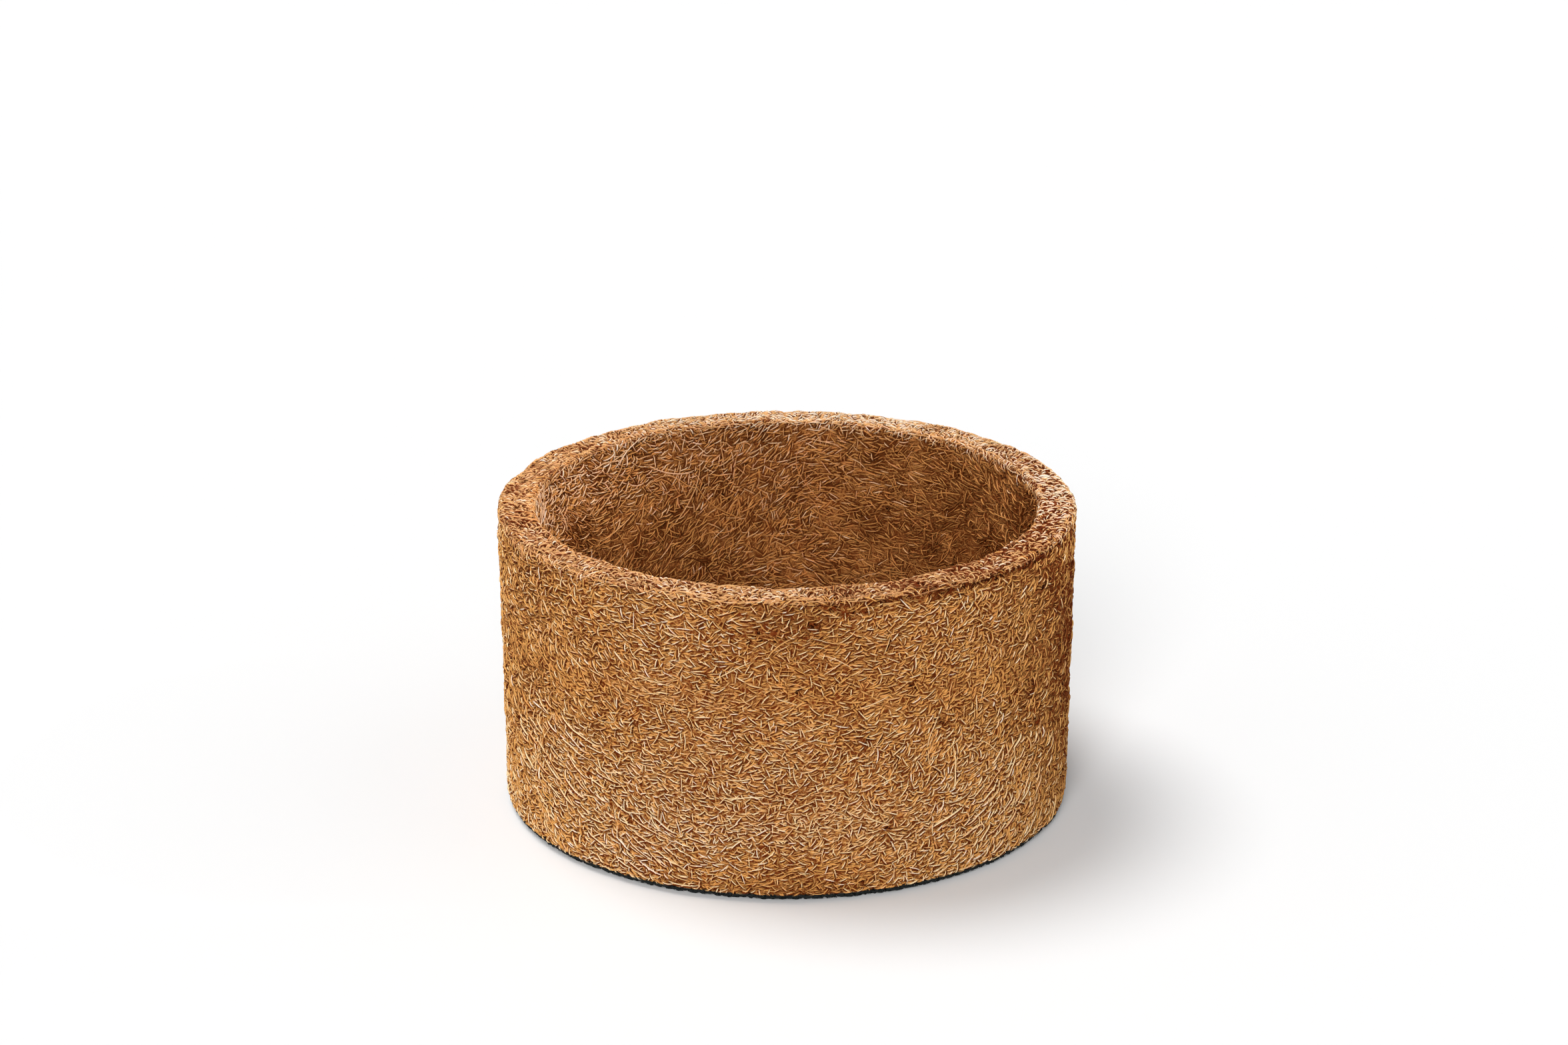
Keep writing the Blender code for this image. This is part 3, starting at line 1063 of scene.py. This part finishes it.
# The rim has painted shade at the front right and at both ends, and its fibres part in tone at the back and
# at the right-hand end, as painted highlights beside darker mat.
RIM_LEFT_SHADE = 0.30
RIM_END_SHADE = 0.38
RIM_SHADE = 0.34
RIM_SHADE_MIDDLE = math.radians(-58)
RIM_SHADE_TURN = 0.65
RIM_BACK_PARTING = 0.14
RIM_BACK_MIDDLE = math.radians(85)
RIM_BACK_TURN = 0.75
RIM_END_PARTING = 0.40
RIM_END_TURN = 0.55
# Splits and the crease under the lip are darkened with painted shade. A split's painted shade is by its depth
# in millimetres.
CREASE_SHADE = 0.60
SPLIT_SHADE = 1.30
# How softly the outside, the rim and the inside pass into each other.
OUTER_BLEND = 2 * MM
INNER_BLEND = 4 * MM
INNER_START = WALL.bore_top + MM


def shades_of(skin, run, azimuth):
    """The painted light and shade of the fibres: how pale they are, how far pale and brown ones part in tone,
    and how much painted shade darkens them.
    """
    if skin is not WALL:
        return 0.0, 0.0, 0.0
    inside = np.clip((run - INNER_START) / INNER_BLEND, 0, 1)
    outside = np.clip((WALL.rim_start - run) / OUTER_BLEND, 0, 1)
    on_rim = 1 - inside - outside
    left, right = np.clip(-np.cos(azimuth), 0, 1), np.clip(np.cos(azimuth), 0, 1)
    depth = np.clip((run - WALL.bore_top) / INNER_PAINTED_REACH, 0, 1)

    # Inside: painted light at the left near the rim, painted shade at the right and deep down.
    paleness = inside * (INNER_PAINTED_LIGHT * left * (1 - depth) - INNER_SHADE * right)
    paleness -= inside * depth * (INNER_DEEP_SHADE + INNER_DEEP_SHADE_LEFT * left)
    # Outside: painted shade towards both ends of the pot, painted light at the front left, paler low down.
    paleness -= outside * (OUTER_SHADE_LEFT * left ** 2 + OUTER_SHADE_RIGHT * right ** 3)
    paleness += outside * OUTER_GLOW * near(azimuth, OUTER_GLOW_MIDDLE, OUTER_GLOW_TURN)
    paleness += outside * FOOT_PALENESS * np.clip(1 - run / FOOT_PALENESS_TOP, 0, 1)
    # Painted shade at the front of the foot and where the splits crowd.
    front_foot = near(azimuth, FOOT_SHADE_MIDDLE, FOOT_SHADE_TURN) * np.clip(1 - run / FOOT_SHADE_TOP, 0, 1)
    crowd = near_spot(
        run, azimuth, CROWD_MIDDLE_DEG, CROWD_SHADE_TURN, CROWD_RUN_MM, CROWD_SHADE_REACH_MM)
    paleness -= FOOT_SHADE * front_foot
    paleness -= outside * CROWD_SHADE * crowd
    # Painted shade on the rim at the front right and at both ends.
    paleness -= on_rim * RIM_SHADE * near(azimuth, RIM_SHADE_MIDDLE, RIM_SHADE_TURN)
    paleness -= on_rim * (RIM_LEFT_SHADE * left + RIM_END_SHADE * right ** 4)

    # Pale and brown fibres part in tone: painted highlights on the rim and inside at the left; outside, by
    # how rough the felt is.
    parting = on_rim * RIM_BACK_PARTING * near(azimuth, RIM_BACK_MIDDLE, RIM_BACK_TURN)
    parting += on_rim * RIM_END_PARTING * near(azimuth, 0.0, RIM_END_TURN)
    parting += (
        inside * INNER_PARTING * left * (1 - depth) + outside * OUTER_PARTING * roughness_of(run, azimuth))
    _, crease = lip_and_crease(run, azimuth)
    return paleness, parting, CREASE_SHADE * crease + SPLIT_SHADE * SPLITS.read(run, azimuth) / MM


def fibre_layer(material, slot, skin, name, seed, low, high, count, tone, tone_spread,
                patchy=0.06, bleached=1.0, parted=0.0, glint=0.0, **lay):
    """Lay one layer of fibres and make its pieces. A few fibres are made far paler than the rest, as painted
    glints.
    """
    rng = np.random.default_rng(seed)
    places, outward, radii, middle = lay_fibres(rng, skin, count, low, high, **lay)
    count, knots = radii.shape
    shade = tone + rng.normal(0, tone_spread, count) + patchy * patch_of(skin, *middle)
    paleness, parting, painted_shade = shades_of(skin, *middle)
    shade = np.clip(shade + paleness * bleached + parting * parted - painted_shade, -PAINTED_SHADE_DEPTH, HIGHLIGHT_TOP)
    hue = rng.uniform(0, 1, count)
    if glint:
        shade = np.minimum(shade + rng.exponential(glint, count), HIGHLIGHT_TOP)
    faces = count * ((knots - 1) * SIDES * 2 + 2)
    split = math.ceil(faces / PIECE_FACES)
    for number in range(split):
        part = slice(number, count, split)
        piece = fibre_piece(
            name if split == 1 else f"{name}_{number + 1}", places[part], outward[part], radii[part],
            shade[part], hue[part])
        piece.data.materials.append(material)
        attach(piece, "root")


def stroke_pair(layer, name, seed, low, high, count, sunk, pale, dark, **both):
    """Lay pale strokes, and beside each on its shaded side a dark stroke, partly dark fibre and partly
    painted shadow, both sunk by some millimetres.
    """
    for end, own in (("", pale), ("_dark", dark)):
        rise = tuple(level - sunk for level in own["rise"])
        layer(name + end, seed, low, high, count, **both, **{**own, "rise": rise})


def stand_in(piece, material, node):
    """Finish a piece, and let it take the place of a solid."""
    piece.data.materials.append(material)
    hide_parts(node)
    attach(piece, "root")


# The edges of the fibre layers, as runs on the wall. The layers overlap on the rim's rounds.
LIP_RUN = WALL.rim_start
RIM_RUN = LIP_RUN + 0.9 * MM
BORE_RUN = WALL.rim_end
RIM_OVERLAP = 0.6 * MM
BORE_OVERLAP = 0.4 * MM

# A deep layer takes little part in the painted light and shade of the felt.
DEEP = 0.15


def dress_cores():
    """The felt cores of the two plies, and the latex in their seams and round the base."""
    plies = (
        ("outer", OUTER_SECTION, OUTER_SEAM, outer_sinks, OUTER_COLOURS),
        ("inner", INNER_SECTION, INNER_SEAM, inner_sinks, INNER_COLOURS))
    for ply, section, seam, sinks, colours in plies:
        felt = ply + "_felt"
        core = ply_core(felt + "_core", section, seam, sinks)
        stand_in(core, core_material(felt + "_mat", colours), felt)
    latex = latex_material()
    for ply, section, seam, *_ in plies:
        stand_in(seam_bead(ply + "_seam_bead", section, seam), latex, ply + "_seam_latex")
    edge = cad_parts["base_edge_latex"]
    edge.data.materials.clear()
    edge.data.materials.append(latex)


def dress_outside():
    """The fibres of the outer face, from the deepest to the loose ones on top."""
    layer = partial(
        fibre_layer, fibre_material("outer_fibre", OUTER_COLOURS, painted_foot_shadow=1.0), "outer_coir", WALL,
        grain=wall_grain, swell=wall_swell)
    layer("outer_fibres_deep", 101, 0.0, RIM_RUN, 6500, 0.0, 0.05, bleached=DEEP, knots=5, length=6.0,
          thickness=0.50, rise=(-1.05, -0.75), weave=0.08, curl=120, stray=0.5)
    layer("outer_fibres_middle", 102, 0.0, RIM_RUN, 80000, 0.34, 0.05, patchy=0.04, bleached=DEEP, knots=4,
          length=2.2, thickness=0.44, rise=(-0.74, -0.54), weave=0.05, curl=130, stray=0.2, clear=0.44,
          raise_by=mat_rise)
    layer("outer_fibres_mat", 114, 0.0, RIM_RUN, 180000, 0.52, 0.04, patchy=0.02, parted=-0.5, knots=4,
          length=2.2, thickness=0.54, rise=(-0.34, -0.24), weave=0.03, curl=150, stray=0.25, spread=0.45,
          dive=0.30, clear=0.40)
    pale = dict(parted=1.0, thickness=0.34, rise=(0.0, 0.06), dive=0.30)
    dark = dict(bleached=DEEP, thickness=0.36, rise=(-0.08, -0.02), dive=0.20, beside=0.40, trim=0.16)
    for name, seed, sunk, pale_tone, glint, dark_tone in (
            ("outer_fibres_top", 103, 0.0, 0.82, 0.16, -0.16),
            ("outer_fibres_under", 117, 0.10, 0.66, 0.06, 0.02)):
        stroke_pair(
            layer, name, seed, 0.0, RIM_RUN, 125000, sunk, dict(pale, tone=pale_tone, glint=glint),
            dict(dark, tone=dark_tone), tone_spread=0.10, patchy=0.0, knots=5, length=2.4, weave=0.02,
            curl=90, stray=0.35, spread=0.60, clear=0.98, share=stroke_share)
    stroke_pair(
        layer, "outer_fibres_fan", 113, 0.0, LIP_RUN, 12000, 0.0,
        dict(tone=0.84, tone_spread=0.08, glint=0.12, rise=(0.06, 0.12)),
        dict(tone=-0.05, tone_spread=0.05, bleached=DEEP, rise=(0.02, 0.06), beside=0.50),
        knots=8, length=7.0, thickness=0.38, weave=0.03, curl=25, stray=0.0, spread=0.05, clear=1.40,
        share=fan_share)
    layer("outer_fibres_long", 110, 0.0, LIP_RUN, 200, 0.84, 0.08, knots=12, length=7.0, thickness=0.34,
          rise=(0.0, 0.10), weave=0.06, curl=80, stray=0.1)


def dress_rim():
    """The fibres of the rim: a mat of short strokes, and longer ones that follow its two edges."""
    layer = partial(
        fibre_layer, fibre_material("rim_fibre", RIM_COLOURS), "outer_coir", WALL, swell=wall_swell)
    layer("rim_fibres_deep", 112, RIM_RUN - RIM_OVERLAP, BORE_RUN - BORE_OVERLAP, 3600, 0.10, 0.08,
          bleached=DEEP, grain=wall_grain, knots=4, length=2.6, thickness=0.46, rise=(-0.80, -0.48),
          weave=0.05, curl=250, stray=0.9)
    layer("rim_fibres_mat", 115, RIM_RUN, BORE_RUN, 30000, 0.50, 0.06, parted=-0.35, grain=rim_grain,
          knots=4, length=2.2, thickness=0.56, rise=(-0.34, -0.24), weave=0.02, curl=150, stray=0.2,
          dive=0.30, clear=0.42)
    pale = dict(tone_spread=0.08, parted=1.0, thickness=0.40, rise=(-0.04, 0.05), dive=0.30)
    dark = dict(
        tone_spread=0.06, bleached=DEEP, thickness=0.42, rise=(-0.12, -0.06), dive=0.25, beside=0.50,
        trim=0.10)
    for name, seed, sunk, pale_tone, glint, dark_tone in (
            ("rim_fibres", 104, 0.0, 0.74, 0.14, -0.02), ("rim_fibres_under", 122, 0.12, 0.58, 0.06, 0.04)):
        stroke_pair(
            layer, name, seed, RIM_RUN, BORE_RUN, 30000, sunk, dict(pale, tone=pale_tone, glint=glint),
            dict(dark, tone=dark_tone), grain=rim_grain, knots=4, length=2.1, weave=0.02, curl=120,
            stray=0.25, spread=0.45, clear=0.96)
    for name, seed, low, high, tone in (
            ("rim_fibres_outer_edge", 118, LIP_RUN + 0.7 * MM, WALL.rim_top - 0.5 * MM, 0.66),
            ("rim_fibres_inner_edge", 119, WALL.bore_top, BORE_RUN - 0.2 * MM, 0.55)):
        layer(name, seed, low, high, 1500, tone, 0.10, grain=edge_grain, knots=8, length=5.0,
              thickness=0.42, rise=(-0.14, -0.06), weave=0.02, curl=10, stray=0.0, spread=0.05, dive=0.20,
              clear=0.42)


def dress_bore():
    """The fibres of the inner face, from the deepest to the long ones that cross on top."""
    end = WALL.length
    start = BORE_RUN - BORE_OVERLAP
    layer = partial(
        fibre_layer, fibre_material("inner_fibre", INNER_COLOURS), "inner_coir", WALL, grain=bore_grain,
        swell=wall_swell)
    layer("inner_fibres_deep", 105, BORE_RUN, end, 5200, 0.08, 0.07, bleached=DEEP, knots=6, length=9.0,
          thickness=0.50, rise=(-1.00, -0.65), weave=0.08, curl=100, stray=0.5)
    layer("inner_fibres_middle", 106, BORE_RUN, end, 12000, 0.20, 0.07, bleached=DEEP, knots=5, length=4.0,
          thickness=0.44, rise=(-0.72, -0.46), weave=0.08, curl=130, stray=0.4)
    layer("inner_fibres_mat", 116, start, end, 90000, 0.58, 0.04, patchy=0.02, parted=-0.5, knots=5,
          length=3.2, thickness=0.54, rise=(-0.34, -0.24), weave=0.04, curl=90, stray=0.25, spread=0.40,
          dive=0.35, clear=0.42)
    pale = dict(
        tone=0.71, tone_spread=0.07, patchy=0.02, parted=0.8, glint=0.12, thickness=0.36, rise=(0.0, 0.06),
        dive=0.35)
    dark = dict(
        tone=0.02, tone_spread=0.05, bleached=0.0, thickness=0.34, rise=(-0.12, -0.05), dive=0.30,
        beside=0.45)
    for name, seed, sunk in (("inner_fibres_top", 111, 0.0), ("inner_fibres_under", 121, 0.10)):
        stroke_pair(
            layer, name, seed, start, end, 50000, sunk, pale, dark, knots=5, length=3.0, weave=0.02, curl=75,
            stray=0.34, spread=0.44, clear=1.05, share=inner_stroke_share)
    layer("inner_fibres_long", 107, BORE_RUN + 2 * MM, end, 360, 0.70, 0.08, knots=12, length=12.0,
          thickness=0.34, rise=(-0.06, 0.08), weave=0.12, curl=60, stray=0.3)
    layer("inner_fibres_crossing", 120, BORE_RUN + 1 * MM, end, 700, 0.92, 0.10, parted=1.0, knots=10,
          length=13.0, thickness=0.38, rise=(0.02, 0.14), weave=0.06, curl=14, stray=1.0, clear=0.9,
          share=crossing_share)


def dress_base():
    """Core and fibres of the base, on its floor side and its underside."""
    core = disc_core("base_felt_core", BASE_RADIUS, BASE_TOP)
    stand_in(core, core_material("base_felt_mat", BASE_COLOURS), "base_felt")
    layer = partial(
        fibre_layer, fibre_material("base_fibre", BASE_COLOURS), "base_coir", grain=disc_grain,
        swell=disc_swell, tone=0.42, tone_spread=0.15, knots=5, length=4.0, thickness=0.42, curl=80,
        stray=0.5)
    layer(FLOOR, "floor_fibres", 108, 0.0, FLOOR.radius, 11000, rise=(-0.60, 0.05), weave=0.10)
    layer(UNDERSIDE, "underside_fibres", 109, 0.0, UNDERSIDE.radius, 12500, rise=(-0.70, -0.22), weave=0.06,
          dive=0.2)


# The camera stands in front of the pot and looks down on it through a long lens.
CAMERA_DISTANCE = 1.05
CAMERA_ELEVATION = math.radians(21.35)
CAMERA_LENS = 91.4
CAMERA_SENSOR = 36
CAMERA_REACH = (0.05, 30)
AIM_POINT = (-0.73 * MM, 0.0, 74.4 * MM)


def set_camera():
    """The camera at the photographed angle."""
    data = bpy.data.cameras.new("camera")
    data.lens = CAMERA_LENS
    data.sensor_width = CAMERA_SENSOR
    data.clip_start, data.clip_end = CAMERA_REACH
    camera = bpy.data.objects.new("camera", data)
    bpy.context.scene.collection.objects.link(camera)
    camera.location = (
        0, -CAMERA_DISTANCE * math.cos(CAMERA_ELEVATION),
        HEIGHT / 2 + CAMERA_DISTANCE * math.sin(CAMERA_ELEVATION))
    camera.rotation_mode = "QUATERNION"
    camera.rotation_quaternion = (Vector(AIM_POINT) - camera.location).to_track_quat("-Z", "Y")
    bpy.context.scene.camera = camera


# Soft suns: how strong each looks on a surface that faces it, where it stands and how wide it is.
LAMPS = {
    "overhead_light": dict(level=0.62, azimuth_deg=149, elevation_deg=68, width_deg=30),
    "front_light": dict(level=0.66, azimuth_deg=-98, elevation_deg=30, width_deg=25),
    "left_light": dict(level=0.03, azimuth_deg=-165, elevation_deg=30, width_deg=55),
    "right_light": dict(level=0.07, azimuth_deg=-8, elevation_deg=42, width_deg=50),
}

# A narrow lamp on the right looks over the rim at the left of the bore.
BORE_LAMP_POWER = 18.0
BORE_LAMP_PLACE = (0.62, -0.05, 0.46)
BORE_LAMP_AIM = (-0.066, 0.0, 0.052)
BORE_LAMP_CONE = math.radians(9.5)
BORE_LAMP_SOFT_EDGE = 0.7
BORE_LAMP_RADIUS = 0.03

SKY_LEVEL = 0.19
WHITE = (1, 1, 1, 1)
FLOOR_SIZE = 6.0
FLOOR_WHITE = (0.80, 0.80, 0.80, 1)
FLOOR_PALER_WHITE = (0.81, 0.81, 0.81, 1)
FLOOR_ROUGHNESS = 0.9
FLOOR_SPECULAR = 0.1
FLOOR_CAMERA_GLOW = 0.07


def set_lamps():
    """Soft studio light from high at the back left and from the front, with a little from each side."""
    for name, lamp in LAMPS.items():
        data = bpy.data.lights.new(name, "SUN")
        data.energy = lamp["level"] * math.pi
        data.angle = math.radians(lamp["width_deg"])
        light = bpy.data.objects.new(name, data)
        bpy.context.scene.collection.objects.link(light)
        light.rotation_euler = (
            0, math.radians(90 - lamp["elevation_deg"]), math.radians(lamp["azimuth_deg"]))


def set_bore_lamp():
    """The narrow lamp that reaches into the pot."""
    data = bpy.data.lights.new("bore_light", "SPOT")
    data.energy = BORE_LAMP_POWER
    data.spot_size = BORE_LAMP_CONE
    data.spot_blend = BORE_LAMP_SOFT_EDGE
    data.shadow_soft_size = BORE_LAMP_RADIUS
    light = bpy.data.objects.new("bore_light", data)
    bpy.context.scene.collection.objects.link(light)
    light.location = BORE_LAMP_PLACE
    toward = Vector(BORE_LAMP_AIM) - Vector(BORE_LAMP_PLACE)
    light.rotation_euler = toward.to_track_quat("-Z", "Y").to_euler()


def set_sky():
    """An even white surround: seen as white, and lighting the pot at its own level."""
    world = bpy.data.worlds.new("studio")
    bpy.context.scene.world = world
    world.use_nodes = True
    world.node_tree.nodes.clear()
    nodes = Nodes(world.node_tree)
    both = nodes.add("ShaderNodeMixShader")
    nodes.feed(both.inputs[0], nodes.seen())
    for socket, level in ((both.inputs[1], SKY_LEVEL), (both.inputs[2], 1.0)):
        nodes.feed(socket, nodes.add("ShaderNodeBackground", Strength=level, Color=WHITE).outputs[0])
    nodes.add("ShaderNodeOutputWorld", Surface=both.outputs[0])


def set_floor():
    """A plain white floor that keeps the pot's shadow."""
    bpy.ops.mesh.primitive_plane_add(size=FLOOR_SIZE)
    floor = bpy.context.object
    floor.name = "studio_floor"
    material, nodes = new_material("studio_white")
    cloud = nodes.noise(nodes.place(), scale=3.0)
    glow = nodes.math("MULTIPLY", nodes.seen(), FLOOR_CAMERA_GLOW)
    shader = nodes.tree.nodes["Principled BSDF"].inputs
    nodes.feed(shader["Base Color"], nodes.mix(cloud, FLOOR_WHITE, FLOOR_PALER_WHITE))
    nodes.feed(shader["Roughness"], FLOOR_ROUGHNESS)
    nodes.feed(shader["Specular IOR Level"], FLOOR_SPECULAR)
    nodes.feed(shader["Emission Color"], WHITE)
    nodes.feed(shader["Emission Strength"], glow)
    floor.data.materials.append(material)


dress_cores()
dress_outside()
dress_rim()
dress_bore()
dress_base()
set_camera()
set_lamps()
set_bore_lamp()
set_sky()
set_floor()
bpy.context.scene.view_settings.view_transform = "Standard"
